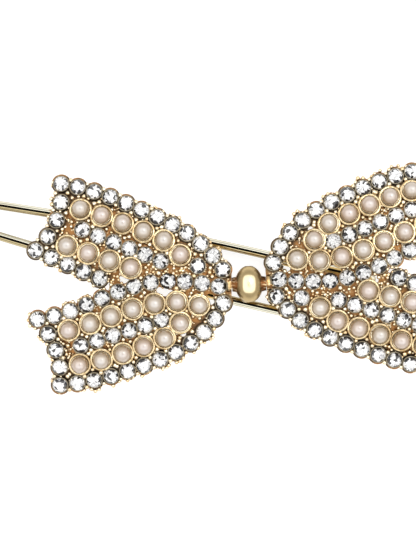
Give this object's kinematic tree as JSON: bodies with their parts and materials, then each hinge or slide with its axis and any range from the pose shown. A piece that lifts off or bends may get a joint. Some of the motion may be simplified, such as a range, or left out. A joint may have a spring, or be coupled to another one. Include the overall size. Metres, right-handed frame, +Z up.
{
  "type": "hair clip",
  "caption": "Two-jaw gold wire hair clip that carries a domed openwork bow paved with round clear rhinestones and pearls, with a barrel bead at its knot.",
  "frame": {"origin": "middle of the bounding box, on the table that the lower wire lies on", "axes": "+X along the clip from its nose towards its hinge, +Y across it, +Z up out of the bow's face"},
  "size_m": [0.0736, 0.0434, 0.007],
  "materials": {
    "wire_gold": "polished pale gold plating",
    "cast_gold": "bright gold plating over a cast surface",
    "bead_gold": "satin gold plating",
    "pin_steel": "gold-plated steel",
    "spring_steel": "bright drawn spring wire",
    "solder": "plated-over solder, slightly rough",
    "rhinestone": "clear faceted crystal, foil backed",
    "pearl": "pearlescent lacquer over plastic"
  },
  "bodies": {
    "bow_and_upper_jaw": {"upper_wire": "wire_gold", "hinge_pin": "pin_steel", "spring_fixed_half": "spring_steel", "left_casting": "cast_gold", "right_casting": "cast_gold", "knot_bead": "bead_gold", "knot_pin": "pin_steel", "left_collar": "cast_gold", "right_collar": "cast_gold", "foot_solder": "solder", "knot_solder": "solder", "left_stones_front_edge": "rhinestone", "left_stones_front_tail": "rhinestone", "left_stones_middle_row": "rhinestone", "left_stones_front_centre": "rhinestone", "left_stones_rear_edge": "rhinestone", "left_stones_rear_tail": "rhinestone", "left_stones_rear_notch": "rhinestone", "left_stones_rear_centre": "rhinestone", "left_stones_rear_accent": "rhinestone", "right_stones_front_edge": "rhinestone", "right_stones_front_tail": "rhinestone", "right_stones_middle_row": "rhinestone", "right_stones_front_centre": "rhinestone", "right_stones_rear_edge": "rhinestone", "right_stones_rear_tail": "rhinestone", "right_stones_rear_notch": "rhinestone", "right_stones_rear_centre": "rhinestone", "right_stones_rear_accent": "rhinestone", "left_pearls_front_inner": "pearl", "left_pearls_front_outer": "pearl", "left_pearls_rear_outer": "pearl", "left_pearls_rear_inner": "pearl", "right_pearls_front_inner": "pearl", "right_pearls_front_outer": "pearl", "right_pearls_rear_outer": "pearl", "right_pearls_rear_inner": "pearl"},
    "lower_jaw": {"lower_wire": "wire_gold", "spring_moving_half": "spring_steel"}
  },
  "joints": [
    {"name": "jaw_hinge", "type": "hinge", "parent": "bow_and_upper_jaw", "child": "lower_jaw", "pos_m": [0.02138, 0.00002, 0.00175], "axis": [0, -1, 0], "range_deg": [0, 35], "stiffness_Nm_per_rad": 0.012, "springref_deg": -20.05}
  ]
}
